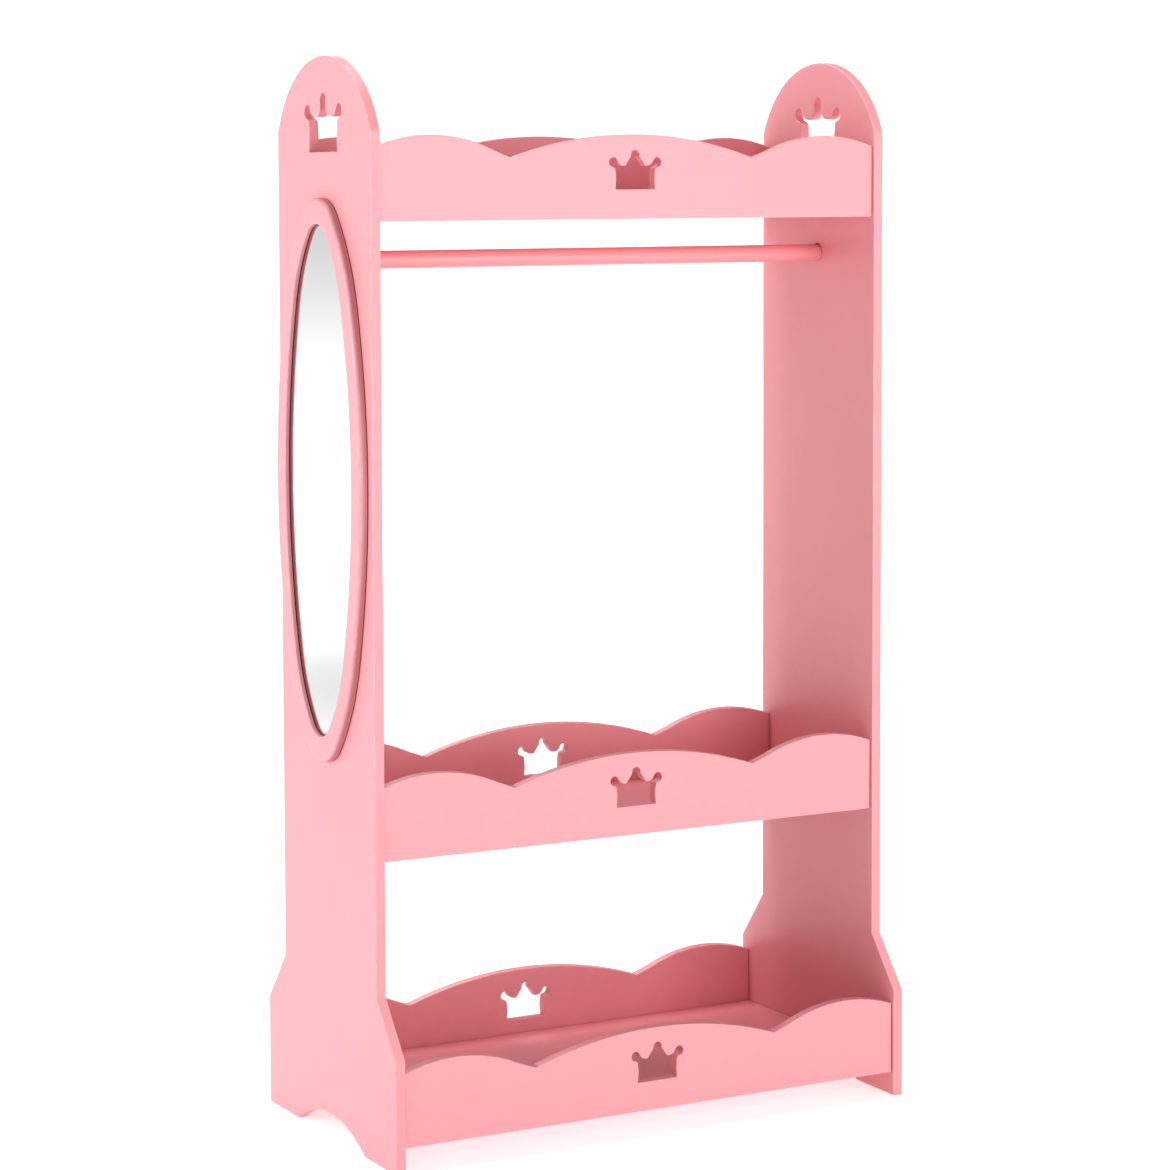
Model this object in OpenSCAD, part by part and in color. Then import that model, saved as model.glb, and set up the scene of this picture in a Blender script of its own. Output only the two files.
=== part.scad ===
// Child's dress-up storage unit: two shaped side panels, three scalloped trays,
// a hanging rod and an oval mirror on the outside of the left panel.
// Frame: X to the right, Y to the back, Z up, origin on the floor under the middle
// of the whole unit, which the mirror frame makes a little wider on the left.

/* [Side panels] */
// Height of a side panel, floor to the top of its dome
panel_h = 1200; // [1140:5:1320]
// Width over both side panels
unit_w = 652; // [560:2:760]
// Thickness of every painted board
board_t = 12; // [11:0.5:15]
// Depth of a side panel above its flare
panel_d = 243; // [235:1:270]
// Depth of a side panel at its feet
foot_d = 337; // [300:1:380]
// Height of the upright part of the foot
foot_h = 124; // [115:1:150]
// Height of the sloping flare above the foot
flare_h = 59; // [45:1:80]
// Rise of the dome above its corners
dome_rise = 83; // [70:1:95]
// Span of the arch cut in the bottom edge
arch_span = 180; // [150:1:200]
// Rise of the arch cut in the bottom edge
arch_rise = 26.5; // [20:0.5:40]

/* [Trays] */
// How far a rail's face stands back from the panel edges
rail_recess = 4; // [2:0.5:8]
// Height of a rail where it meets a side panel
rail_end_h = 81; // [78:0.5:84]
// Height of a rail at the dips between its lobes
rail_dip_h = 67.5; // [64:0.5:70]
// Height of a rail at the top of its middle lobe
rail_mid_h = 93.5; // [90:0.5:98]
// Height of a rail at the top of its side lobes
rail_side_h = 92.5; // [90:0.5:98]
// Distance between the two dips
dip_gap = 307; // [260:1:340]
// Length of the straight run from a dip to its side lobe
flank_run = 21.5; // [15:0.5:30]
// Climb of the straight run from a dip to its side lobe
flank_climb = 8; // [5:0.5:10]
// Floor to the lower edge of the top rails
top_rail_z = 1020.5; // [1000:0.5:1040]
// Floor to the lower edge of the middle rails
mid_rail_z = 329.5; // [250:0.5:380]
// Floor to the lower edge of the bottom rails
low_rail_z = 27; // [20:0.5:40]
// Step from a rail's lower edge up to the underside of its shelf
shelf_lift = 4.5; // [2:0.5:10]

/* [Crown cut-outs] */
// Width of the crown's body
crown_w = 50.4; // [46:0.2:54]
// Height of the crown, base to the top of the middle ball
crown_h = 43.5; // [42:0.5:46]
// Radius of the balls on the crown's points
crown_ball = 5.2; // [4.8:0.1:5.6]
// Distance between the centres of the outer balls
crown_spread = 55.8; // [54:0.2:58]
// Rail's lower edge up to the base of the crown
crown_sill = 33; // [30:0.5:36]
// Size of a side panel's crown beside a rail's
side_crown_size = 1.48; // [1.2:0.01:1.6]
// Top of the panel down to the base of its crown
side_crown_drop = 105; // [98:0.5:115]

/* [Hanging rod] */
// Diameter of the rod
rod_d = 20; // [16:0.5:24]
// Floor to the axis of the rod
rod_z = 976.5; // [930:0.5:990]
// Depth of the blind hole for each end of the rod
rod_socket = 8; // [7:0.5:9]
// Radial play of the rod in its holes
rod_play = 0.75; // [0.5:0.05:1.2]
// Gap left under the resting rod
rod_rest_gap = 0.3; // [0.1:0.05:0.4]
// Play at each end of the rod
rod_end_play = 0.5; // [0.2:0.1:1]
// Rounding of the rod's end edges
rod_end_round = 1.5; // [1:0.1:3]

/* [Mirror] */
// Width of the oval frame over its outer edge
frame_w = 222; // [200:1:226]
// Height of the oval frame over its outer edge
frame_h = 621; // [560:1:640]
// Thickness of the oval frame
frame_t = 10; // [8.5:0.5:12]
// Rounding of the frame's outer edge
frame_round = 4; // [2:0.5:5]
// Rounding of the frame's opening
sight_round = 1.5; // [1:0.1:2]
// Width of the frame's face at its sides
rim_side = 24; // [18:0.5:28]
// Width of the frame's face at its top and bottom
rim_end = 28; // [22:0.5:30]
// Floor to the centre of the mirror
mirror_z = 734.5; // [710:0.5:745]
// Overlap of the frame's lip on the glass
lip_lap = 5; // [4:0.5:6]
// Thickness of the mirror glass
glass_t = 3; // [2:0.5:4]
// Thickness of the pad behind the glass
pad_t = 1.5; // [1:0.5:2]
// Gap around the glass
glass_gap = 0.5; // [0.3:0.1:1]
// Edge of the glass in to the edge of its pad
pad_inset = 3; // [1:0.5:6]

/* [Fittings] */
// Diameter of a cam lock's bore
cam_bore_d = 12; // [11:0.2:14]
// Depth of a cam lock's bore
cam_bore_depth = 9.5; // [9:0.1:10]
// End of a board in to the centre of its cam lock
cam_setback = 24; // [22:0.5:30]
// Radial gap around cams, bolts, dowels and screws
fit_gap = 0.15; // [0.1:0.05:0.2]
// Diameter of a cam bolt's thread
bolt_d = 5; // [4:0.2:5.6]
// Diameter of a cam bolt's collar
bolt_collar_d = 6.6; // [6.2:0.2:7]
// Thickness of a cam bolt's collar
bolt_collar_t = 2; // [1:0.1:3]
// Diameter of a cam bolt's neck
bolt_neck_d = 2.8; // [2:0.1:3.2]
// Diameter of a cam bolt's head
bolt_head_d = 5; // [4:0.1:5.4]
// Length of a cam bolt's head
bolt_head_len = 2.8; // [2:0.1:3.4]
// Gap between a cam and its bolt's neck
neck_gap = 0.5; // [0.2:0.1:0.8]
// Wall of a cam lock
cam_wall = 1.5; // [1:0.1:1.6]
// Closed face of a cam lock
cam_lid = 2; // [1.5:0.1:2.4]
// How deep a cam lock's face lies below the board's
cam_sink = 0.3; // [0:0.1:0.5]
// Depth of a bolt's hole in a side panel
bolt_depth = 8; // [7:0.5:9]
// Rail's lower edge up to its cam bolt
rail_bolt_z = 56; // [50:1:60]
// Rail's lower edge up to its end dowel
rail_dowel_z = 30; // [24:1:40]
// Side edge of a shelf in to its cam bolt
shelf_bolt_inset = 35; // [30:1:50]
// Diameter of a dowel
dowel_d = 6; // [5:0.5:6.5]
// Depth of a dowel in the face it enters
dowel_face_depth = 8; // [7:0.5:9]
// Depth of a dowel's hole in the edge it enters
dowel_edge_depth = 20; // [16:1:26]
// Gap left between a dowel's end and the floor of that hole
dowel_end_gap = 0.5; // [0.2:0.1:1]
// Centre of the tray out to a rail-to-shelf dowel
tray_dowel_x = 190; // [140:1:220]
// Diameter of a mirror frame screw
screw_d = 3.5; // [3:0.1:4]
// Head diameter of a mirror frame screw
screw_head_d = 7; // [6.4:0.2:8]
// Depth of a mirror frame screw in the frame
screw_bite = 6.5; // [5:0.5:7]

/* [Hidden] */

pink = "#f5bfc6";
rod_pink = "#ef9aa4";

// length, width and depth of a driver's cross slot
screw_slot = [3.6, 1, 1.4];
cam_slot = [6, 1.2, 1.2];
// chamfers at the ends of bolts and dowels
bolt_chamfer = 0.4;
dowel_chamfer = 0.8;
// how far a cut runs out past the face it starts from
past = 1;

// faces and centres of the boards
inner_x = unit_w / 2 - board_t;
dome_r = (pow(panel_d / 2, 2) + pow(dome_rise, 2)) / (2 * dome_rise);
arch_r = (pow(arch_span / 2, 2) + pow(arch_rise, 2)) / (2 * arch_rise);
upper_face = panel_d / 2 - rail_recess;
lower_face = foot_d / 2 - rail_recess;
rail_zs = [top_rail_z, mid_rail_z, low_rail_z];
faces = [upper_face, upper_face, lower_face];
shelf_mid = shelf_lift + board_t / 2;
rod_socket_z = rod_z + rod_play - rod_rest_gap;
side_crown_z = panel_h - side_crown_drop;

// scalloped edge of a rail
dip_x = dip_gap / 2;
flank_x = dip_x + flank_run;
flank_z = rail_dip_h + flank_climb;
mid_drop = rail_mid_h - rail_dip_h;
mid_lobe_r = (dip_x * dip_x + mid_drop * mid_drop) / (2 * mid_drop);

// x of the top of an arc that leaves (x1, top - d1) and lands on (x2, top - d2)
function arc_top(x1, d1, x2, d2) =
    let (a = d2 - d1, b = 2 * (x2 * d1 - x1 * d2),
         c = d2 * (x1 * x1 + d1 * d1) - d1 * (x2 * x2 + d2 * d2))
    abs(a) < 0.001 ? -c / b : (-b + sqrt(b * b - 4 * a * c)) / (2 * a);

side_top_x = arc_top(flank_x, rail_side_h - flank_z, inner_x, rail_side_h - rail_end_h);
side_lobe_r = (pow(inner_x - side_top_x, 2) + pow(rail_side_h - rail_end_h, 2))
    / (2 * (rail_side_h - rail_end_h));

// mirror: an oval's arcs meet where its outline has turned by these angles, and each
// differs by a hair in radius from the next, so that their surfaces cross
turns = [14, 40];
hair = 0.005;
sight_w = frame_w - 2 * rim_side;
sight_h = frame_h - 2 * rim_end;
rebate_w = sight_w + 2 * lip_lap;
rebate_h = sight_h + 2 * lip_lap;
glass_w = rebate_w - 2 * glass_gap;
glass_h = rebate_h - 2 * glass_gap;
screw_path_w = (rebate_w + frame_w) / 2;
screw_path_h = (rebate_h + frame_h) / 2;
screw_len = board_t + screw_bite;
// how far the sections of the frame, of its rebate and of a plate reach inwards
frame_reach = max(rim_side, rim_end) + 3;
rebate_reach = lip_lap + 4;
plate_reach = 14;

$fn = 96;

// ---------------------------------------------------------------- outlines

// crown opening, its base on y = 0, drawn to its own width and height
module crown_2d() {
    w = crown_w;
    h = crown_h;
    r = crown_ball;
    corner = 0.03 * w;
    sag = 0.026 * w;
    ball = [crown_spread / 2, 0.69 * h];
    neck = [0.08 * w, 0.815 * h];
    valley = [0.246 * w, 0.6 * h];
    // circle that hollows a flank from its foot up to the ball
    foot = [w / 2, 0.8 * corner];
    root = ball + r * [-0.36, -0.88];
    rise = root - foot;
    flank_r = (pow(norm(rise) / 2, 2) + sag * sag) / (2 * sag);
    flank = (foot + root) / 2 + (flank_r - sag) * [rise[1], -rise[0]] / norm(rise);
    // circle of the rounded edge between the valley and the ball
    bay = [0.278 * w, 0.857 * h];
    difference() {
        union() {
            translate([corner - w / 2, 0]) square([w - 2 * corner, 2 * corner]);
            for (s = [0, 1]) mirror([s, 0]) {
                translate([w / 2 - corner, corner]) circle(r = corner);
                polygon([[-corner, corner], [w / 2, corner], root,
                    ball + r * [-0.8, 0.2], [-corner, ball[1] + 0.2 * r]]);
            }
        }
        for (s = [0, 1]) mirror([s, 0]) {
            translate(flank) circle(r = flank_r, $fn = 180);
            translate(bay) circle(r = norm(valley - bay));
        }
    }
    // middle point, whose sides run on down into the body
    run = (valley - neck) * 1.8;
    polygon([neck + run, neck, [-neck[0], neck[1]], [-neck[0] - run[0], neck[1] + run[1]]]);
    translate([0, h - r]) circle(r = r);
    for (s = [-1, 1]) translate([s * ball[0], ball[1]]) circle(r = r);
}

// side panel, x to the back and y up
module panel_2d() {
    difference() {
        intersection() {
            polygon([[-foot_d / 2, 0], [foot_d / 2, 0], [foot_d / 2, foot_h],
                [panel_d / 2, foot_h + flare_h], [panel_d / 2, panel_h + 1],
                [-panel_d / 2, panel_h + 1], [-panel_d / 2, foot_h + flare_h],
                [-foot_d / 2, foot_h]]);
            union() {
                translate([-foot_d, -1]) square([2 * foot_d, panel_h - dome_r + 1]);
                translate([0, panel_h - dome_r]) circle(r = dome_r, $fn = 240);
            }
        }
        translate([0, arch_rise - arch_r]) circle(r = arch_r, $fn = 240);
        translate([0, side_crown_z]) scale(side_crown_size) crown_2d();
    }
}

// rail with three lobes and a crown, its lower edge on y = 0; its pieces lap, so
// that each corner of the upper edge is where two of them cross
module rail_2d() {
    lap = 2;
    slope = flank_climb / flank_run;
    difference() {
        union() {
            intersection() {
                translate([0, rail_mid_h - mid_lobe_r]) circle(r = mid_lobe_r, $fn = 720);
                translate([-dip_x - lap, 0]) square([2 * (dip_x + lap), rail_mid_h + 1]);
            }
            for (s = [0, 1]) mirror([s, 0]) {
                polygon([[dip_x - lap, 0], [flank_x + lap, 0],
                    [flank_x + lap, flank_z + lap * slope],
                    [dip_x - lap, rail_dip_h - lap * slope]]);
                intersection() {
                    translate([side_top_x, rail_side_h - side_lobe_r])
                        circle(r = side_lobe_r, $fn = 360);
                    translate([flank_x - lap, 0])
                        square([inner_x - flank_x + lap, rail_side_h + 1]);
                }
            }
        }
        translate([0, crown_sill]) crown_2d();
    }
}

// ------------------------------------------------- ovals built of eight arcs
// An oval w wide and h high: flat side arcs, shoulder arcs and tight end arcs,
// tangent to each other where the outline's normal has turned by turns[0], turns[1].

function ellipse_r(a, b, t) =
    a * a * b * b / pow(pow(a * cos(t), 2) + pow(b * sin(t), 2), 1.5);
function oval_radii(w, h) =
    let (a = w / 2, b = h / 2, t1 = turns[0], t2 = turns[1],
         r2 = 1.06 * ellipse_r(a, b, (t1 + t2) / 2),
         p = a - r2 * (cos(t1) - cos(t2)), q = b - r2 * (sin(t2) - sin(t1)),
         m = 1 - cos(t1), n = cos(t2), u = sin(t1), v = 1 - sin(t2),
         det = m * v - n * u)
    [(p * v - n * q) / det, r2, (m * q - u * p) / det];
// centre of arc i: 0 side, 1 shoulder, 2 end
function oval_centre(w, h, i) =
    let (r = oval_radii(w, h), c0 = [w / 2 - r[0], 0],
         c1 = c0 + (r[0] - r[1]) * [cos(turns[0]), sin(turns[0])])
    i == 0 ? c0 : i == 1 ? c1
        : c1 + (r[1] - r[2]) * [cos(turns[1]), sin(turns[1])];
// a point d inside the oval where its normal points along t, from -90 to 180
function oval_point(w, h, t, d) =
    t < 0 ? let (p = oval_point(w, h, -t, d)) [p[0], -p[1]]
    : t > 90 ? let (p = oval_point(w, h, 180 - t, d)) [-p[0], p[1]]
    : let (i = t < turns[0] ? 0 : t < turns[1] ? 1 : 2)
        oval_centre(w, h, i) + (oval_radii(w, h)[i] - d) * [cos(t), sin(t)];

// one arc of an oval's edge: the section turned about the arc's own centre, then
// cut by planes square to the outline, which the next arc shares
module oval_arc(w, h, i, t0, t1) {
    r = oval_radii(w, h);
    inner = min(frame_reach + 3, r[2] - 1);
    outer = -12;
    steps = 6;
    function edge(k, d) = oval_point(w, h, t0 + k * (t1 - t0) / steps, d);
    intersection() {
        translate(oval_centre(w, h, i)) rotate_extrude($fn = [1440, 720, 240][i])
            translate([r[i] - i * hair, 0]) children();
        linear_extrude(4 * frame_t, center = true)
            polygon(concat([for (k = [0:steps]) edge(k, outer)],
                [for (k = [steps:-1:0]) edge(k, inner)]));
    }
}

// carries a cross-section round the oval: x = 0 on the outline, negative inside
module oval_sweep(w, h) {
    for (m = [0, 1]) {
        mirror([m, 0, 0]) oval_arc(w, h, 0, -turns[0], turns[0]) children();
        mirror([0, m, 0]) oval_arc(w, h, 2, turns[1], 180 - turns[1]) children();
        for (k = [0, 1])
            mirror([m, 0, 0]) mirror([0, k, 0]) oval_arc(w, h, 1, turns[0], turns[1]) children();
    }
}

// flat inner area of an oval, d inside its outline
module oval_core(w, h, d, z0, z1) {
    step = 5;
    translate([0, 0, z0]) linear_extrude(z1 - z0)
        polygon([for (q = [0:3], t = [0:step:90 - step])
            let (f = q % 2 == 0 ? t : 90 - t, p = oval_point(w, h, f, d))
            [(q == 0 || q == 3 ? 1 : -1) * p[0], (q < 2 ? 1 : -1) * p[1]]]);
}

// full oval plate from z0 to z1
module oval_plate(w, h, z0, z1) {
    oval_sweep(w, h) translate([-plate_reach, z0]) square([plate_reach, z1 - z0]);
    oval_core(w, h, plate_reach / 2, z0, z1);
}

// ------------------------------------------------------------ placing helpers

// puts the unit's own middle beside the origin, which the mirror frame shifts
module unit() { translate([frame_t / 2, 0, 0]) children(); }
// local x to the back, y up, z to the right
module on_side(x) { translate([x, 0, 0]) rotate([90, 0, 90]) children(); }
// stands on the outer face of the left panel, z outwards
module on_mirror_side() { translate([-unit_w / 2, 0, mirror_z]) rotate([90, 0, -90]) children(); }
// turns z to point from the side panel s inwards
module inwards(s) { translate([s * inner_x, 0, 0]) rotate([0, -90 * s, 0]) children(); }

// every cam bolt of the side panel s: z runs along the bolt, inwards
module at_rail_bolts(s) {
    for (i = [0:2], f = [-1, 1])
        translate([0, rail_mid_y(i, f), rail_zs[i] + rail_bolt_z]) inwards(s) children();
}
module at_shelf_bolts(s) {
    for (i = [0:2], f = [-1, 1])
        translate([0, f * shelf_bolt_y(i), rail_zs[i] + shelf_mid]) inwards(s) children();
}
function rail_mid_y(i, f) = f * (faces[i] - board_t / 2);
function shelf_half(i) = faces[i] - board_t;
function shelf_bolt_y(i) = shelf_half(i) - shelf_bolt_inset;

module at_end_dowels(s) {
    for (i = [0:2]) {
        for (f = [-1, 1])
            translate([0, rail_mid_y(i, f), rail_zs[i] + rail_dowel_z]) inwards(s) children();
        translate([0, 0, rail_zs[i] + shelf_mid]) inwards(s) children();
    }
}
// rail-to-shelf dowels of tray i at face f, z from the rail's inner face to the middle
module at_tray_dowels(i, f) {
    for (s = [-1, 1])
        translate([s * tray_dowel_x, f * shelf_half(i), rail_zs[i] + shelf_mid])
            rotate([f * 90, 0, 0]) children();
}

module bore(d, from, to) {
    translate([0, 0, from]) cylinder(d = d, h = to - from, $fn = 48);
}

// --------------------------------------------------------------- side panels

module panel_bores(s) {
    d_bolt = bolt_d + 2 * fit_gap;
    d_dowel = dowel_d + 2 * fit_gap;
    at_rail_bolts(s) bore(d_bolt, -bolt_depth, past);
    at_shelf_bolts(s) bore(d_bolt, -bolt_depth, past);
    at_end_dowels(s) bore(d_dowel, -dowel_face_depth, past);
    translate([0, 0, rod_socket_z]) inwards(s)
        bore(rod_d + 2 * rod_play, -rod_socket, past);
}

module at_frame_screws() {
    for (a = [0:60:300])
        translate([screw_path_w / 2 * cos(a), screw_path_h / 2 * sin(a), 0]) children();
}

module left_side_panel() {
    color(pink) unit() difference() {
        on_side(-unit_w / 2) linear_extrude(board_t) panel_2d();
        panel_bores(-1);
        // through holes for the frame screws, sunk for their heads
        on_mirror_side() at_frame_screws() {
            bore(screw_d + 2 * fit_gap, -board_t - past, past);
            translate([0, 0, -board_t]) rotate_extrude($fn = 48) screw_head_2d(fit_gap, past);
        }
    }
}

module right_side_panel() {
    color(pink) unit() difference() {
        on_side(inner_x) linear_extrude(board_t) panel_2d();
        panel_bores(1);
    }
}

// --------------------------------------------------------------------- trays

// shelf of tray i, between its rails and the side panels
module shelf(i) {
    half = shelf_half(i);
    z0 = rail_zs[i] + shelf_lift;
    difference() {
        translate([-inner_x, -half, z0]) cube([2 * inner_x, 2 * half, board_t]);
        for (s = [-1, 1], f = [-1, 1]) {
            translate([0, f * shelf_bolt_y(i), z0 + board_t / 2]) inwards(s)
                bore(bolt_collar_d + 2 * fit_gap, -past, cam_setback);
            translate([s * (inner_x - cam_setback), f * shelf_bolt_y(i), z0])
                bore(cam_bore_d, -past, cam_bore_depth);
        }
        for (s = [-1, 1])
            translate([0, 0, z0 + board_t / 2]) inwards(s)
                bore(dowel_d + 2 * fit_gap, -past, dowel_edge_depth);
        for (f = [-1, 1])
            at_tray_dowels(i, f) bore(dowel_d + 2 * fit_gap, -past, dowel_edge_depth);
    }
}

module top_shelf() { color(pink) unit() shelf(0); }
module middle_shelf() { color(pink) unit() shelf(1); }
module bottom_shelf() { color(pink) unit() shelf(2); }

// rail of tray i: f = -1 at the front, 1 at the back
module rail(i, f) {
    y0 = rail_mid_y(i, f) - board_t / 2;
    difference() {
        translate([0, y0 + board_t, rail_zs[i]]) rotate([90, 0, 0])
            linear_extrude(board_t) rail_2d();
        for (s = [-1, 1]) {
            translate([0, rail_mid_y(i, f), rail_zs[i] + rail_bolt_z]) inwards(s)
                bore(bolt_collar_d + 2 * fit_gap, -past, cam_setback);
            translate([0, rail_mid_y(i, f), rail_zs[i] + rail_dowel_z]) inwards(s)
                bore(dowel_d + 2 * fit_gap, -past, dowel_edge_depth);
            // cams are let into the face that looks to the back
            translate([s * (inner_x - cam_setback), y0 + board_t, rail_zs[i] + rail_bolt_z])
                rotate([90, 0, 0]) bore(cam_bore_d, -past, cam_bore_depth);
        }
        at_tray_dowels(i, f) bore(dowel_d + 2 * fit_gap, -dowel_face_depth, past);
    }
}

module top_front_rail() { color(pink) unit() rail(0, -1); }
module top_back_rail() { color(pink) unit() rail(0, 1); }
module middle_front_rail() { color(pink) unit() rail(1, -1); }
module middle_back_rail() { color(pink) unit() rail(1, 1); }
module bottom_front_rail() { color(pink) unit() rail(2, -1); }
module bottom_back_rail() { color(pink) unit() rail(2, 1); }

// ----------------------------------------------------------------- hanging rod

module hanging_rod() {
    r = rod_d / 2;
    e = rod_end_round;
    lap = 0.5;
    half = inner_x + rod_socket - rod_end_play;
    color(rod_pink) unit() translate([0, 0, rod_z]) rotate([0, 90, 0]) rotate_extrude($fn = 96)
        union() {
            translate([0, -half]) square([r - e, 2 * half]);
            translate([0, -half + e]) square([r, 2 * (half - e)]);
            for (s = [-1, 1]) intersection() {
                translate([r - e, s * (half - e)]) circle(r = e, $fn = 48);
                translate([r - e - lap, -half - past]) square([e + lap + past, 2 * (half + past)]);
            }
        }
}

// --------------------------------------------------------------------- mirror

// half section of the frame's outer edge, x = 0 on its outline
module frame_section_2d() {
    r = frame_round;
    lap = 0.5;
    translate([-frame_reach, 0]) square([frame_reach, frame_t - r]);
    translate([-frame_reach, 0]) square([frame_reach - r, frame_t]);
    intersection() {
        translate([-r, frame_t - r]) circle(r = r, $fn = 64);
        translate([-r - lap, frame_t - r - lap]) square(r + lap + past);
    }
}

// half section of what the opening takes out, x = 0 on its outline
module sight_section_2d() {
    q = sight_round;
    translate([-plate_reach, -past]) square([plate_reach, frame_t + 2 * past]);
    difference() {
        translate([-past, frame_t - q]) square([q + past, q + past]);
        translate([q, frame_t - q]) circle(r = q, $fn = 48);
    }
}

module mirror_frame() {
    color(pink) unit() on_mirror_side() difference() {
        oval_sweep(frame_w, frame_h) frame_section_2d();
        oval_sweep(sight_w, sight_h) sight_section_2d();
        oval_core(sight_w, sight_h, plate_reach / 2, -past, frame_t + past);
        // rebate that holds the glass and its pad
        oval_sweep(rebate_w, rebate_h) translate([-rebate_reach, -past])
            square([rebate_reach, glass_t + pad_t + past]);
        at_frame_screws() bore(screw_d + 2 * fit_gap, -past, screw_bite);
    }
}

module mirror_glass() {
    color("#dfe6e8") unit() on_mirror_side()
        oval_plate(glass_w, glass_h, pad_t, pad_t + glass_t);
}

module mirror_backing_pad() {
    color("#6d6a66") unit() on_mirror_side()
        oval_plate(glass_w - 2 * pad_inset, glass_h - 2 * pad_inset, 0, pad_t);
}

// half section of a sunk screw head and its recess, the head's face on y = 0
module screw_head_2d(grow, above) {
    hr = screw_head_d / 2 + grow;
    sr = screw_d / 2 + grow;
    polygon(concat(above > 0 ? [[0, -above], [hr, -above]] : [[0, 0]],
        [[hr, 0], [sr, hr - sr], [0, hr - sr]]));
}

module mirror_frame_screws() {
    color("#b9bcc0") unit() on_mirror_side() at_frame_screws() translate([0, 0, -board_t])
        difference() {
            union() {
                rotate_extrude($fn = 48) screw_head_2d(0, 0);
                bore(screw_d, screw_slot[1] / 2, screw_len);
            }
            cross_slot(screw_slot);
        }
}

// cross-shaped driver slot of a length, width and depth, cut into a face at z = 0
module cross_slot(size) {
    for (a = [0, 90]) rotate([0, 0, a])
        translate([-size[0] / 2, -size[1] / 2, -past]) cube([size[0], size[1], size[2] + past]);
}

// -------------------------------------------------------------------- fittings

// cam let in from z = 0, its closed face towards -z, open to the bolt along +x
module cam() {
    r = cam_bore_d / 2 - fit_gap;
    neck = bolt_neck_d + 2 * neck_gap;
    difference() {
        translate([0, 0, cam_sink]) cylinder(r = r, h = cam_bore_depth - cam_sink, $fn = 64);
        translate([0, 0, cam_sink + cam_lid])
            cylinder(r = r - cam_wall, h = cam_bore_depth, $fn = 64);
        translate([0, -neck / 2, cam_sink + cam_lid]) cube([r + past, neck, cam_bore_depth]);
        translate([0, 0, cam_sink]) cross_slot(cam_slot);
    }
}

module cam_locks() {
    color("#c9ccd0") unit() for (i = [0:2], f = [-1, 1], s = [0, 1]) mirror([s, 0, 0]) {
        // rails: let in from the face that looks to the back
        translate([inner_x - cam_setback, rail_mid_y(i, f) + board_t / 2,
            rail_zs[i] + rail_bolt_z]) rotate([90, 0, 0]) cam();
        // shelves: let in from below
        translate([inner_x - cam_setback, f * shelf_bolt_y(i), rail_zs[i] + shelf_lift]) cam();
    }
}

// bolt along z: shank in the panel below z = 0, collar on its face, head in the cam
module bolt() {
    r = bolt_d / 2;
    e = bolt_chamfer;
    head = bolt_head_len / 2;
    cam_edge = cam_setback - cam_bore_d / 2;
    rotate_extrude($fn = 48) polygon([
        [0, -bolt_depth], [r - e, -bolt_depth], [r, e - bolt_depth], [r, 0],
        [bolt_collar_d / 2, 0], [bolt_collar_d / 2, bolt_collar_t],
        [r - e, bolt_collar_t], [r - e, cam_edge - past], [bolt_neck_d / 2, cam_edge],
        [bolt_neck_d / 2, cam_setback - head - 2 * e], [bolt_head_d / 2, cam_setback - head],
        [bolt_head_d / 2, cam_setback + head - e], [bolt_head_d / 2 - e, cam_setback + head],
        [0, cam_setback + head]]);
}

module cam_bolts() {
    color("#b9bcc0") unit() for (s = [-1, 1]) {
        at_rail_bolts(s) bolt();
        at_shelf_bolts(s) bolt();
    }
}

// dowel along z, its end on the floor of the blind hole in the face below z = 0
module dowel() {
    r = dowel_d / 2;
    e = dowel_chamfer;
    top = dowel_edge_depth - dowel_end_gap;
    rotate_extrude($fn = 48) polygon([[0, -dowel_face_depth], [r - e, -dowel_face_depth],
        [r, e - dowel_face_depth], [r, top - e], [r - e, top], [0, top]]);
}

module wood_dowels() {
    color("#d9b98c") unit() {
        for (s = [-1, 1]) at_end_dowels(s) dowel();
        for (i = [0:2], f = [-1, 1]) at_tray_dowels(i, f) dowel();
    }
}

// ---------------------------------------------------------------------- output

left_side_panel();
right_side_panel();
top_shelf();
middle_shelf();
bottom_shelf();
top_front_rail();
top_back_rail();
middle_front_rail();
middle_back_rail();
bottom_front_rail();
bottom_back_rail();
hanging_rod();
mirror_frame();
mirror_glass();
mirror_backing_pad();
mirror_frame_screws();
cam_locks();
cam_bolts();
wood_dowels();
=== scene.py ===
"""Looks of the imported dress-up storage unit: painted boards, oval mirror, rod and fittings."""

import cmath
import logging
import math
from collections.abc import Callable, Iterable, Mapping, Sequence
from dataclasses import dataclass, field
from enum import Enum
from typing import ClassVar

import bpy
from bpy.types import Material, Mesh, Node, NodeSocket, Object, World
from mathutils import Matrix, Vector


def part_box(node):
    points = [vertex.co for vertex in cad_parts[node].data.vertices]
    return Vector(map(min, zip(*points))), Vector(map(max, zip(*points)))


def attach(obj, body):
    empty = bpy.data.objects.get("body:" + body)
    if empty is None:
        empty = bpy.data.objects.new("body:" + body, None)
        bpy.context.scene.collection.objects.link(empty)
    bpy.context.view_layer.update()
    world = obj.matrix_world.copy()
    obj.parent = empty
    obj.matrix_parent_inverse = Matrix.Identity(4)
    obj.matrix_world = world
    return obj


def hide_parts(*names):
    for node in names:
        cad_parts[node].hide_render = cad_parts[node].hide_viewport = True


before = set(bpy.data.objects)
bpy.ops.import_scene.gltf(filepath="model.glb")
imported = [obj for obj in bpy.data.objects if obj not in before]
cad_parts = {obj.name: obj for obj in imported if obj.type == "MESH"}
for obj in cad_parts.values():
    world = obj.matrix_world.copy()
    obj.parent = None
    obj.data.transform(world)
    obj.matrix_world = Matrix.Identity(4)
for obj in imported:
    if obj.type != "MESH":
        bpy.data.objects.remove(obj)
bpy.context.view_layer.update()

LOG = logging.getLogger("unit")
MM = 0.001
TINY = 1e-6  # metres; what lies nearer than this counts as one place
EDGE_MARK = "edge_band"
ARRIS_MARK = "arris"
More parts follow.
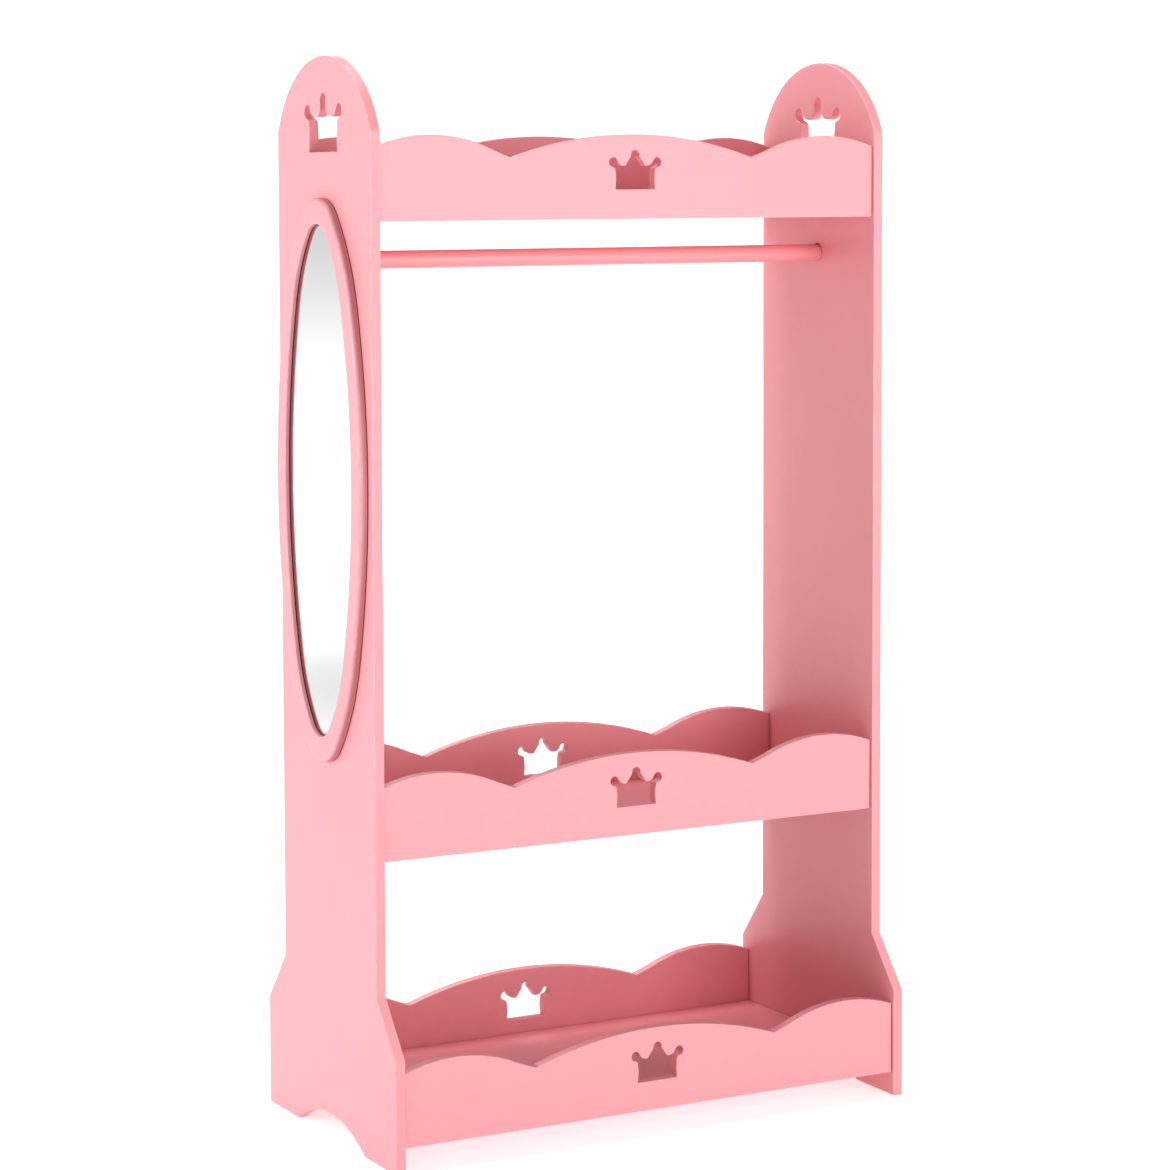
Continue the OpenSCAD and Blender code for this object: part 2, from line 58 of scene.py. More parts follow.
# Painted shade: how dark a face is painted along joints and round the mirror ring, where shadow
# falls.
GAP_SHADE_MARK = "painted_gap_shade"
RIM_REFLECTION_MARK = "painted_rim_reflection"
CUT_EDGE_LEAN = 0.02  # a cut edge's normal leans less than this along the thickness
FLAT_FACE_LEAN = 0.998  # and a flat face's normal leans at least this much
# Painted shade at joints: on all of a shelf's arrises, and where a board butts on a panel.
SHELF_SEAM_SHADE = 0.85  # gap mark on a shelf's arrises
END_SEAM_SHADE = 0.5  # gap mark where a board butts on a panel
SEAM_REACH = 1.1 * MM

# Rotations that take a piece modelled flat to its place, by where its own axes end up.
X_BACK_Y_UP = Matrix(((0, 0, 1), (1, 0, 0), (0, 1, 0)))
X_RIGHT_Y_UP = Matrix(((1, 0, 0), (0, 0, -1), (0, 1, 0)))
X_FRONT_Y_UP = Matrix(((0, 0, -1), (-1, 0, 0), (0, 1, 0)))
Z_RIGHT = Matrix(((0, 0, 1), (0, 1, 0), (-1, 0, 0)))

Loop = list[complex]
Triple = tuple[float, float, float]
Step = tuple[Callable[[float], complex], float, float]  # point by angle, height, mark


class Side(Enum):
    """Which side of the unit a piece is on; the value is the sign of its x."""

    LEFT = -1
    RIGHT = 1


class Face(Enum):
    """Front or back of a tray; the value is the sign of its y."""

    FRONT = -1
    BACK = 1


class Level(Enum):
    """The three trays, by the name that their pieces carry."""

    TOP = "top"
    MIDDLE = "middle"
    BOTTOM = "bottom"


# ---- shader graph


def operator(name: str, swapped: bool = False) -> Callable[..., "Signal"]:
    """Writes an arithmetic method of Signal.

    Args:
        name: The Math node's operation.
        swapped: True for the reflected form, where the signal stands on the right.

    Returns:
        The method, which adds one Math node.
    """

    def method(self: "Signal", other: "Signal | float") -> "Signal":
        """Adds the Math node.

        Args:
            self: The signal.
            other: The number or signal that it meets.

        Returns:
            What the node gives.
        """
        first, second = (other, self) if swapped else (self, other)
        node = self.graph.node("ShaderNodeMath", {"operation": name}, {0: first, 1: second})
        return Signal(self.graph, node.outputs[0])

    return method


class Signal:
    """A number that varies over a surface; arithmetic on it adds Math nodes."""

    def __init__(self, graph: "Graph", socket: NodeSocket) -> None:
        """Wraps an output socket of a graph."""
        self.graph, self.socket = graph, socket

    __add__, __radd__ = operator("ADD"), operator("ADD", True)
    __sub__, __rsub__ = operator("SUBTRACT"), operator("SUBTRACT", True)
    __mul__, __rmul__ = operator("MULTIPLY"), operator("MULTIPLY", True)

    def clamp(self) -> "Signal":
        """The signal held between 0 and 1."""
        node = self.graph.node("ShaderNodeClamp", {}, {"Value": self})
        return Signal(self.graph, node.outputs[0])

    def above(self, low: float, high: float, start: float = 0.0, end: float = 1.0) -> "Signal":
        """A soft step.

        Args:
            low: Where the step begins.
            high: Where it is complete.
            start: Its value up to low.
            end: Its value from high on.

        Returns:
            The step, smooth between low and high.
        """
        node = self.graph.node(
            "ShaderNodeMapRange",
            {"interpolation_type": "SMOOTHSTEP"},
            {"Value": self, "From Min": low, "From Max": high, "To Min": start, "To Max": end},
        )
        return Signal(self.graph, node.outputs[0])


class Graph:
    """The node tree of a material or world, with one method that adds any node."""

    def __init__(self, owner: Material | World, coords: str = "Object") -> None:
        """Empties the owner's tree.

        Args:
            owner: The material or world.
            coords: Which texture coordinates the graph reads.
        """
        owner.use_nodes = True
        self.owner = owner
        self.tree = owner.node_tree
        self.tree.nodes.clear()
        self.coords = self.node("ShaderNodeTexCoord").outputs[coords]

    @classmethod
    def material(cls, name: str) -> "Graph":
        """The graph of a new material."""
        return cls(bpy.data.materials.new(name))

    def node(
        self,
        kind: str,
        settings: Mapping[str, object] | None = None,
        inputs: Mapping[str | int, object] | None = None,
    ) -> Node:
        """Adds a node.

        Args:
            kind: The node's type.
            settings: Its properties.
            inputs: A value, socket or signal for each input, by identifier, name or number.

        Returns:
            The new node.
        """
        node = self.tree.nodes.new(kind)
        for key, value in (settings or {}).items():
            setattr(node, key, value)
        for key, value in (inputs or {}).items():
            same = [socket for socket in node.inputs if socket.identifier == key]
            socket = same[0] if same else node.inputs[key]
            if isinstance(value, Signal):
                value = value.socket
            if isinstance(value, NodeSocket):
                self.tree.links.new(value, socket)
            elif isinstance(value, tuple) and socket.type == "RGBA":
                socket.default_value = (*value, 1.0)
            else:
                socket.default_value = value
        return node

    def noise(
        self, scale: float, detail: float = 2.0, rough: float = 0.5, stretch: Triple | None = None
    ) -> Signal:
        """Noise in the object's own coordinates.

        Args:
            scale: Cells to the metre.
            detail: Octaves.
            rough: How strong the finer octaves are.
            stretch: Factor on each axis, for a pattern that runs along one of them.

        Returns:
            The noise, about 0.5 in the middle.
        """
        where = self.coords
        if stretch:
            inputs = {"Vector": where, "Scale": stretch}
            where = self.node("ShaderNodeMapping", {}, inputs).outputs[0]
        inputs = {"Vector": where, "Scale": scale, "Detail": detail, "Roughness": rough}
        return Signal(self, self.node("ShaderNodeTexNoise", {}, inputs).outputs[0])

    def mark(self, name: str) -> Signal:
        """The number that a mesh stores under a name."""
        node = self.node("ShaderNodeAttribute", {"attribute_name": name})
        return Signal(self, node.outputs["Fac"])

    def blend(
        self, share: Signal | float, first: object, second: object, mode: str = "MIX"
    ) -> NodeSocket:
        """Mixes two colours.

        Args:
            share: How much of the second shows.
            first: A colour, colour socket or grey signal.
            second: Another.
            mode: The Mix node's blend type.

        Returns:
            The mixed colour's socket.
        """
        node = self.node(
            "ShaderNodeMix",
            {"data_type": "RGBA", "blend_type": mode},
            {"Factor_Float": share, "A_Color": first, "B_Color": second},
        )
        return next(s for s in node.outputs if s.identifier == "Result_Color")

    def bump(self, height: Signal, depth: float, strength: float) -> NodeSocket:
        """The normal of a height from 0 to 1, where 1 is depth metres."""
        inputs = {"Height": height, "Distance": depth, "Strength": strength}
        return self.node("ShaderNodeBump", {}, inputs).outputs["Normal"]

    def surface(self, **inputs: object) -> Material:
        """Ends the graph in a Principled shader.

        Args:
            **inputs: Its inputs, spaces in their names written as underscores.

        Returns:
            The finished material.
        """
        named = {key.replace("_", " "): value for key, value in inputs.items()}
        shader = self.node("ShaderNodeBsdfPrincipled", {}, named)
        self.node("ShaderNodeOutputMaterial", {}, {"Surface": shader.outputs[0]})
        return self.owner


# ---- finishes


@dataclass(frozen=True)
class SatinPaint:
    """Sprayed satin paint on fibreboard, a little deeper where the cut edge drinks it, with
    near-black painted shade where the gap mark lies.
    """

    name: str
    colour: Triple
    edge_colour: Triple
    worn_and_highlight_colour: Triple
    roughness: float = 0.42
    gap_shade_colour: Triple = (0.035, 0.02, 0.02)
    gap_shade_strength: float = 0.93
    wear_and_highlight: float = 0.5
    tone: float = 0.94
    cloud_cells: float = 2.4
    mottle_cells: float = 70.0
    peel_cells: float = 330.0
    fibre_cells: float = 1400.0
    peel_depth: float = 0.00006
    peel_strength: float = 0.7

    def material(self) -> Material:
        """Builds the paint's node graph.

        Returns:
            The material.
        """
        g = Graph.material(self.name)
        cloud = g.noise(self.cloud_cells)
        mottle = g.noise(self.mottle_cells, detail=3.0, rough=0.6)
        peel = g.noise(self.peel_cells, rough=0.45)
        fibre = g.noise(self.fibre_cells, rough=0.6)
        edge = g.mark(EDGE_MARK)
        arris = g.mark(ARRIS_MARK)
        # Painted shade from the gap mark, near-black, along joints and round the mirror ring.
        gap = g.mark(GAP_SHADE_MARK).clamp()
        # Lighter paint on the arrises, mottled: partly rubbed wear and partly a painted highlight
        # along the edges.
        rub_and_highlight = (arris * (mottle * 1.6 - 0.35)).clamp()
        base = g.blend((edge + arris * 0.4).clamp(), self.colour, self.edge_colour)
        base = g.blend(rub_and_highlight * self.wear_and_highlight, base, self.worn_and_highlight_colour)
        tone = self.tone + cloud * 0.08 + mottle * 0.045
        grey = g.node("ShaderNodeCombineColor", {}, {0: tone, 1: tone, 2: tone}).outputs[0]
        base = g.blend(1.0, base, grey, "MULTIPLY")
        base = g.blend(gap * self.gap_shade_strength, base, self.gap_shade_colour)
        rough = self.roughness + (cloud - 0.5) * 0.10 + (mottle - 0.5) * 0.08 + edge * 0.07
        height = peel + (fibre - 0.5) * edge * 0.8
        return g.surface(
            Base_Color=base,
            Roughness=rough.clamp(),
            Normal=g.bump(height, self.peel_depth, self.peel_strength),
            Specular_IOR_Level=0.42,
            Coat_Weight=0.12,
            Coat_Roughness=0.3,
        )


@dataclass(frozen=True)
class RawBoard:
    """Bare fibreboard, as drilled holes show it."""

    name: str = "raw_fibreboard"
    light: Triple = (0.42, 0.27, 0.15)
    dark: Triple = (0.22, 0.13, 0.07)
    roughness: float = 0.88
    fibre_cells: float = 900.0
    fibre_depth: float = 0.0003

    def material(self) -> Material:
        """Builds the fibreboard's node graph.

        Returns:
            The material.
        """
        g = Graph.material(self.name)
        fibre = g.noise(self.fibre_cells, detail=4.0, rough=0.7)
        return g.surface(
            Base_Color=g.blend(fibre.above(0.3, 0.75), self.dark, self.light),
            Roughness=self.roughness + (fibre - 0.5) * 0.1,
            Normal=g.bump(fibre, self.fibre_depth, 0.7),
        )


@dataclass(frozen=True)
class Silvering:
    """Mirror glass: silver under clear glass, with faint wiping marks, and a painted dark
    reflection of the ring's shaded wall along its rim.
    """

    name: str = "silvered_glass"
    colour: Triple = (0.965, 0.975, 0.97)
    haze_colour: Triple = (0.75, 0.76, 0.77)
    rim_reflection_colour: Triple = (0.42, 0.42, 0.40)
    roughness: float = 0.012
    wipe_cells: float = 9.0
    wipe_stretch: Triple = (1.0, 1.0, 2.6)
    speck_cells: float = 1500.0

    def material(self) -> Material:
        """Builds the mirror's node graph.

        Returns:
            The material.
        """
        g = Graph.material(self.name)
        wipe = g.noise(self.wipe_cells, detail=4.0, rough=0.6, stretch=self.wipe_stretch)
        specks = g.noise(self.speck_cells, detail=1.0).above(0.74, 0.80)
        haze = wipe.above(0.52, 0.8)
        colour = g.blend(haze * 0.05 + specks * 0.15, self.colour, self.haze_colour)
        # Painted reflection: a dark band along the ring stands for the ring's shaded wall seen in
        # the glass.
        colour = g.blend(g.mark(RIM_REFLECTION_MARK).clamp(), colour, self.rim_reflection_colour)
        return g.surface(
            Base_Color=colour,
            Metallic=1.0,
            Roughness=self.roughness + haze * 0.022 + specks * 0.1,
        )


@dataclass(frozen=True)
class Felt:
    """Thin felt behind the glass."""

    name: str = "grey_felt"
    light: Triple = (0.20, 0.19, 0.18)
    dark: Triple = (0.10, 0.095, 0.09)
    hair_cells: float = 700.0
    hair_depth: float = 0.0005

    def material(self) -> Material:
        """Builds the felt's node graph.

        Returns:
            The material.
        """
        g = Graph.material(self.name)
        hair = g.noise(self.hair_cells, detail=5.0, rough=0.75)
        return g.surface(
            Base_Color=g.blend(hair, self.dark, self.light),
            Roughness=0.95,
            Normal=g.bump(hair, self.hair_depth, 0.8),
            Sheen_Weight=0.4,
        )


@dataclass(frozen=True)
class Zinc:
    """Zinc on metal: fine grain, or scratches where it is stretched, and dull spots."""

    name: str
    colour: Triple
    roughness: float
    grain_cells: float
    stretch: Triple | None = None
    spot_cells: float = 220.0
    spot_tone: float = 0.62
    grain_depth: float = 0.00008

    def material(self) -> Material:
        """Builds the metal's node graph.

        Returns:
            The material.
        """
        g = Graph.material(self.name)
        grain = g.noise(self.grain_cells, detail=3.0, rough=0.65, stretch=self.stretch)
        spots = g.noise(self.spot_cells).above(0.5, 0.72)
        dull = tuple(self.spot_tone * c for c in self.colour)
        return g.surface(
            Base_Color=g.blend(spots * 0.5, self.colour, dull),
            Metallic=1.0,
            Roughness=(self.roughness + (grain - 0.5) * 0.22 + spots * 0.14).clamp(),
            Normal=g.bump(grain, self.grain_depth, 0.6),
        )


@dataclass(frozen=True)
class Beech:
    """Beech dowel: pale wood with short dark flecks."""

    name: str = "beech"
    pale: Triple = (0.62, 0.43, 0.25)
    deep: Triple = (0.42, 0.25, 0.12)
    fleck_colour: Triple = (0.24, 0.12, 0.05)
    roughness: float = 0.62
    grain_cells: float = 120.0
    grain_stretch: Triple = (0.25, 1.0, 1.0)
    grain_depth: float = 0.0002
    fleck_cells: float = 900.0
    fleck_stretch: Triple = (0.12, 1.0, 1.0)

    def material(self) -> Material:
        """Builds the wood's node graph.

        Returns:
            The material.
        """
        g = Graph.material(self.name)
        grain = g.noise(self.grain_cells, detail=4.0, rough=0.6, stretch=self.grain_stretch)
        fleck = g.noise(self.fleck_cells, detail=1.0, stretch=self.fleck_stretch)
        base = g.blend(grain.above(0.35, 0.7), self.pale, self.deep)
        return g.surface(
            Base_Color=g.blend(fleck.above(0.62, 0.7) * 0.55, base, self.fleck_colour),
            Roughness=self.roughness + (grain - 0.5) * 0.2,
            Normal=g.bump(grain, self.grain_depth, 0.5),
        )


@dataclass(frozen=True)
class StudioFloor:
    """Plain pale floor that glows with painted light as a light table would, brighter further out,
    and darker and dimmer in a patch to the left.
    """

    name: str = "pale_floor"
    colour: Triple = (0.78, 0.78, 0.785)
    fleck_tone: float = 0.97
    grain_cells: float = 160.0
    roughness: float = 0.75
    near_glow: float = 0.38
    far_glow: float = 0.86
    far_reach: tuple[float, float] = (1.0, 6.0)
    left_glow: float = 0.22
    left_shade_colour: Triple = (0.72, 0.72, 0.725)
    left_band: tuple[float, float] = (-0.8, -1.9)
    left_reach: tuple[float, float] = (5.0, 3.0)

    def material(self) -> Material:
        """Builds the floor's node graph.

        Returns:
            The material.
        """
        g = Graph.material(self.name)
        grain = g.noise(self.grain_cells, detail=3.0)
        length = g.node("ShaderNodeVectorMath", {"operation": "LENGTH"}, {0: g.coords})
        reach = Signal(g, length.outputs["Value"])
        far = reach.above(*self.far_reach)
        across = Signal(g, g.node("ShaderNodeSeparateXYZ", {}, {0: g.coords}).outputs["X"])
        # Painted shade: a patch to the left is darker and glows less.
        left = across.above(*self.left_band) * reach.above(*self.left_reach)
        glow = g.blend(far, (self.near_glow,) * 3, (self.far_glow,) * 3)
        fleck = tuple(self.fleck_tone * c for c in self.colour)
        base = g.blend(grain * 0.25, self.colour, fleck)
        return g.surface(
            Base_Color=g.blend(left, base, self.left_shade_colour),
            Roughness=self.roughness + (grain - 0.5) * 0.1,
            Specular_IOR_Level=0.25,
            Emission_Color=g.blend(left, glow, (self.left_glow,) * 3),
            Emission_Strength=1.0,
        )


class Finishes:
    """Every finish, its material built once."""

    def __init__(self) -> None:
        """Builds the materials."""
        self.pink = SatinPaint(
            "pink_satin_paint", (0.77, 0.375, 0.40), (0.80, 0.36, 0.385), (0.88, 0.56, 0.59)
        ).material()
        self.rod = SatinPaint(
            "rod_satin_paint", (0.75, 0.33, 0.345), (0.75, 0.31, 0.325), (0.84, 0.46, 0.48), 0.34
        ).material()
        self.raw = RawBoard().material()
        self.mirror = Silvering().material()
        self.felt = Felt().material()
        self.steel = Zinc(
            "zinc_plated_steel", (0.62, 0.63, 0.64), 0.28, 900.0, (1.0, 1.0, 0.2)
        ).material()
        self.cast = Zinc("cast_zinc", (0.55, 0.555, 0.56), 0.42, 500.0).material()
        self.beech = Beech().material()


# ---- plane geometry


def arc(centre: complex, radius: float, start: complex, end: complex,
        clockwise: bool = False, chord: float = 2.0 * MM) -> Loop:
    """Points along an arc.

    Args:
        centre: The arc's centre.
        radius: Its radius.
        start: A point in whose direction it starts.
        end: A point in whose direction it ends.
        clockwise: Which way it runs.
        chord: About the longest step between two points.

    Returns:
        The points, both ends included.
    """
    widest = math.radians(9)
    a = cmath.phase(start - centre)
    turn = (cmath.phase(end - centre) - a) % math.tau
    if clockwise:
        turn -= math.tau
    count = max(2, math.ceil(abs(turn) * max(1.0 / widest, radius / chord)))
    return [centre + cmath.rect(radius, a + turn * i / count) for i in range(count + 1)]


def circles_meet(c1: complex, r1: float, c2: complex, r2: float, near: complex) -> complex:
    """Where two circles cross.

    Args:
        c1: First centre.
        r1: First radius.
        c2: Second centre.
        r2: Second radius.
        near: A point beside the wanted crossing.

    Returns:
        The crossing nearest to that point.
    """
    d = abs(c2 - c1)
    way = (c2 - c1) / d
    along = (r1 * r1 - r2 * r2 + d * d) / (2 * d)
    off = math.sqrt(r1 * r1 - along * along)
    pair = [c1 + way * complex(along, off), c1 + way * complex(along, -off)]
    return min(pair, key=lambda p: abs(p - near))


def line_meets(centre: complex, radius: float, p: complex, q: complex, near: complex) -> complex:
    """Where a line crosses a circle.

    Args:
        centre: The circle's centre.
        radius: Its radius.
        p: A point on the line.
        q: Another point on it.
        near: A point beside the wanted crossing.

    Returns:
        The crossing nearest to that point.
    """
    way = (q - p) / abs(q - p)
    foot = p + way * ((centre - p) / way).real
    off = way * math.sqrt(radius**2 - abs(centre - foot) ** 2)
    return min([foot + off, foot - off], key=lambda s: abs(s - near))


def mirrored(points: Loop) -> Loop:
    """The points mirrored in the middle line, in the opposite order."""
    return [complex(-p.real, p.imag) for p in reversed(points)]


def lobe_radius(half_chord: float, rise: float) -> float:
    """Radius of an arc that rises by rise over half_chord."""
    return (half_chord**2 + rise**2) / (2 * rise)


@dataclass(frozen=True)
class Crown:
    """The crown cut-out: a hollow-sided body, three points and a ball on each.

    The complex fields are places, as shares of its width and height; x is measured from the
    middle and y from the lower edge.
    """

    width: float = 50.4 * MM
    height: float = 43.5 * MM
    ball: float = 5.2 * MM
    spread: float = 55.8 * MM
    ball_height: float = 0.69
    corner: float = 0.03
    sag: float = 0.026
    neck: complex = 0.08 + 0.815j
    valley: complex = 0.215 + 0.6076j
    bay: complex = 0.278 + 0.857j
    throat: complex = 0.095 + 0.768j
    root: complex = -0.36 - 0.88j  # where a flank meets a side ball, in the ball's radii
    flare: float = 0.0
    clear: float = 1.3 * MM
    chord: float = 0.6 * MM

    def _at(self, shares: complex) -> complex:
        """The place that a pair of shares stands for."""
        return complex(shares.real * self.width, shares.imag * self.height)

    def loop(self, base: complex, scale: float = 1.0) -> Loop:
        """The crown's outline.

        Args:
            base: The middle of its lower edge.
            scale: Its size beside a rail's crown.

        Returns:
            The closed outline, counter-clockwise.
        """
        w, r, fine = self.width, self.ball, self.chord
        corner, sag = self.corner * w, self.sag * w
        ball = complex(self.spread / 2, self.ball_height * self.height)
        top = complex(0, self.height - r)
        neck, valley, bay = self._at(self.neck), self._at(self.valley), self._at(self.bay)
        foot = complex(w / 2, 0.8 * corner)
        root = ball + r * self.root
        flank_r = lobe_radius(abs(root - foot) / 2, sag)
        out = -1j * (root - foot) / abs(root - foot)
        flank = (foot + root) / 2 + (flank_r - sag) * out
        bay_r = abs(valley - bay)
        turn = complex(w / 2 - corner, corner)
        p0 = circles_meet(turn, corner, flank, flank_r, foot)
        p1 = circles_meet(flank, flank_r, ball, r, root)
        p2 = circles_meet(ball, r, bay, bay_r, ball - r)
        p3 = line_meets(bay, bay_r, neck, valley, valley)
        p4 = line_meets(top, r, neck, valley, neck)
        sweep = []
        if self.flare:
            throat = self._at(self.throat)
            heel = throat + self.flare
            p3 = circles_meet(bay, bay_r, heel, self.flare, valley)
            p4 = line_meets(top, r, throat, throat + 1j, throat)
            sweep = arc(heel, self.flare, p3, throat, clockwise=True, chord=fine)[1:]
        half = [
            *arc(turn, corner, turn - 1j, p0, chord=fine),
            *arc(flank, flank_r, p0, p1, clockwise=True)[1:],
            *arc(ball, r, p1, p2, chord=fine)[1:],
            *arc(bay, bay_r, p2, p3, clockwise=True, chord=fine)[1:],
            *sweep,
            *arc(top, r, p4, top + 1j, chord=fine),
        ]
        sharp = [p1, p2, p3, p4]
        half = [p for p in half if p in sharp or all(abs(p - c) > self.clear for c in sharp)]
        return [base + scale * p for p in half + mirrored(half)[1:]]


@dataclass(frozen=True)
class Oval:
    """An oval of eight tangent arcs: two flat sides, four shoulders and two tight ends."""

    width: float
    height: float
    turns: tuple[float, float] = (math.radians(14), math.radians(40))  # normals where arcs meet
    fullness: float = 1.06  # a shoulder's radius beside an ellipse's in the same place
    samples: int = 4000

    def arcs(self) -> list[tuple[complex, float]]:
        """Works out the side, shoulder and end arcs of one quarter.

        Returns:
            Each arc's centre, measured from the oval's middle, and its radius.
        """
        a, b = self.width / 2, self.height / 2
        t1, t2 = self.turns
        mid = (t1 + t2) / 2
        across = (a * math.cos(mid)) ** 2 + (b * math.sin(mid)) ** 2
        r2 = self.fullness * (a * b) ** 2 / across**1.5
        p = a - r2 * (math.cos(t1) - math.cos(t2))
        q = b - r2 * (math.sin(t2) - math.sin(t1))
        m, n, u, v = 1 - math.cos(t1), math.cos(t2), math.sin(t1), 1 - math.sin(t2)
        det = m * v - n * u
        r1, r3 = (p * v - n * q) / det, (m * q - u * p) / det
        c1 = complex(a - r1, 0)
        c2 = c1 + cmath.rect(r1 - r2, t1)
        return [(c1, r1), (c2, r2), (c2 + cmath.rect(r2 - r3, t2), r3)]

    def point(self, angle: float, inwards: float = 0.0) -> complex:
        """A point of the oval.

        Args:
            angle: Direction of its outward normal there, in radians.
            inwards: How far inside the outline it lies.

        Returns:
            The point.
        """
        way = cmath.rect(1, angle)
        near = math.atan2(abs(way.imag), abs(way.real))
        centre, radius = self.arcs()[sum(near >= turn for turn in self.turns)]
        p = centre + cmath.rect(radius - inwards, near)
        return complex(math.copysign(p.real, way.real), math.copysign(p.imag, way.imag))

    def angles(self, count: int) -> list[float]:
        """Normal angles that spread points evenly along the outline.

        Args:
            count: How many points.

        Returns:
            The angles in radians, from 0 to a full turn.
        """
        walk = [self.point(math.tau * i / self.samples) for i in range(self.samples + 1)]
        length = [0.0]
        for p, q in zip(walk, walk[1:]):
            length.append(length[-1] + abs(q - p))
        found, i = [], 0
        for k in range(count):
            while length[i + 1] <= length[-1] * k / count:
                i += 1
            share = (length[-1] * k / count - length[i]) / (length[i + 1] - length[i])
            found.append(math.tau * (i + share) / self.samples)
        return found


# ---- workbench


def alone(obj: Object) -> None:
    """Deselects everything, then selects one object and makes it active.

    Args:
        obj: The object.
    """
    bpy.ops.object.select_all(action="DESELECT")
    obj.select_set(True)
    bpy.context.view_layer.objects.active = obj


def apply_modifier(obj: Object, kind: str, **settings: object) -> None:
    """Adds a modifier and applies it.

    Args:
        obj: The object.
        kind: The modifier's type.
        **settings: Its properties.
    """
    modifier = obj.modifiers.new(kind.lower(), kind)
    for key, value in settings.items():
        setattr(modifier, key, value)
    alone(obj)
    bpy.ops.object.modifier_apply(modifier=modifier.name)


def place(obj: Object, turn: Matrix, at: Vector) -> None:
    """Turns and moves an object, then takes its place into its mesh.

    Args:
        obj: The object.
        turn: Rotation as a 3x3 matrix.
        at: Where its own origin goes.
    """
    alone(obj)
    obj.matrix_world = Matrix.Translation(at) @ turn.to_4x4()
    bpy.ops.object.transform_apply(location=True, rotation=True, scale=True)


def smooth(obj: Object, degrees: float = 38.0) -> None:
    """Smooths the roundings and keeps the flats flat.

    Args:
        obj: The object.
        degrees: Edges sharper than this stay sharp.
    """
    alone(obj)
    bpy.ops.object.shade_smooth_by_angle(angle=math.radians(degrees))
    apply_modifier(obj, "WEIGHTED_NORMAL", keep_sharp=True, weight=100)


def store(mesh: Mesh, mark: str, domain: str, values: Iterable[float]) -> None:
    """Stores a mark's values on each FACE or POINT of a mesh."""
    layer = mesh.attributes.new(mark, "FLOAT", domain)
    layer.data.foreach_set("value", [float(value) for value in values])


def marks(obj: Object, axis: Vector) -> None:
    """Stores on each face of a board whether it is cut edge or arris, and the painted shade of its
    joints.

    Args:
        obj: The board.
        axis: The direction of its thickness; a board that lies along x butts on the panels.
    """
    mesh = obj.data
    leans = [abs(polygon.normal.dot(axis)) for polygon in mesh.polygons]
    arris = [CUT_EDGE_LEAN <= lean < FLAT_FACE_LEAN for lean in leans]
    store(mesh, EDGE_MARK, "FACE", (lean < CUT_EDGE_LEAN for lean in leans))
    store(mesh, ARRIS_MARK, "FACE", arris)
    if not axis.x:
        xs = [vertex.co.x for vertex in mesh.vertices]
        ends = min(xs), max(xs)
        butts = [min(abs(polygon.center.x - end) for end in ends) < SEAM_REACH
                 for polygon in mesh.polygons]
        # Painted shade along the joints, darkening them as if in shadow.
        store(mesh, GAP_SHADE_MARK, "FACE", (
            SHELF_SEAM_SHADE if axis.z and rounded else END_SEAM_SHADE if butt else 0.0
            for rounded, butt in zip(arris, butts)))


def close_shell(shell: Object, closing: Callable[[], object]) -> None:
    """Closes a shell's open rims and turns its faces outward.

    Args:
        shell: The shell.
        closing: The operator that closes the selected rims.
    """
    alone(shell)
    bpy.ops.object.mode_set(mode="EDIT")
    bpy.ops.mesh.select_all(action="DESELECT")
    bpy.ops.mesh.select_non_manifold(extend=False)
    closing()
    bpy.ops.mesh.select_all(action="SELECT")
    bpy.ops.mesh.normals_make_consistent(inside=False)
    bpy.ops.object.mode_set(mode="OBJECT")


@dataclass(frozen=True)
class Bore:
    """A drilled hole: where it starts, which way it runs, its width and depth."""

    at: Vector
    way: Vector
    width: float
    depth: float
    proud: float = 1.0 * MM
    facets: int = 48

    def cutter(self, material: Material) -> Object:
        """Models the drill that cuts it.

        Args:
            material: What the hole's wall shows.

        Returns:
            The cutter, which stands a little proud of the hole's mouth.
        """
        bpy.ops.object.select_all(action="DESELECT")
        bpy.ops.mesh.primitive_cylinder_add(
            vertices=self.facets, radius=self.width / 2, depth=self.depth + self.proud
        )
        drill = bpy.context.object
        turn = self.way.to_track_quat("Z", "Y").to_matrix()
        place(drill, turn, self.at + self.way * (self.depth - self.proud) / 2)
        drill.data.materials.append(material)
        return drill


def drill(obj: Object, bores: Sequence[Bore], raw: Material) -> None:
    """Cuts bores into a board.

    Args:
        obj: The board.
        bores: What to cut.
        raw: The bare board's material, for the holes' walls.
    """
    cutters = [bore.cutter(raw) for bore in bores]
    alone(cutters[0])
    for cutter in cutters:
        cutter.select_set(True)
    if len(cutters) > 1:
        bpy.ops.object.join()
    apply_modifier(
        obj, "BOOLEAN", operation="DIFFERENCE", solver="EXACT",
        object=cutters[0], material_mode="TRANSFER",
    )
    bpy.data.objects.remove(cutters[0])


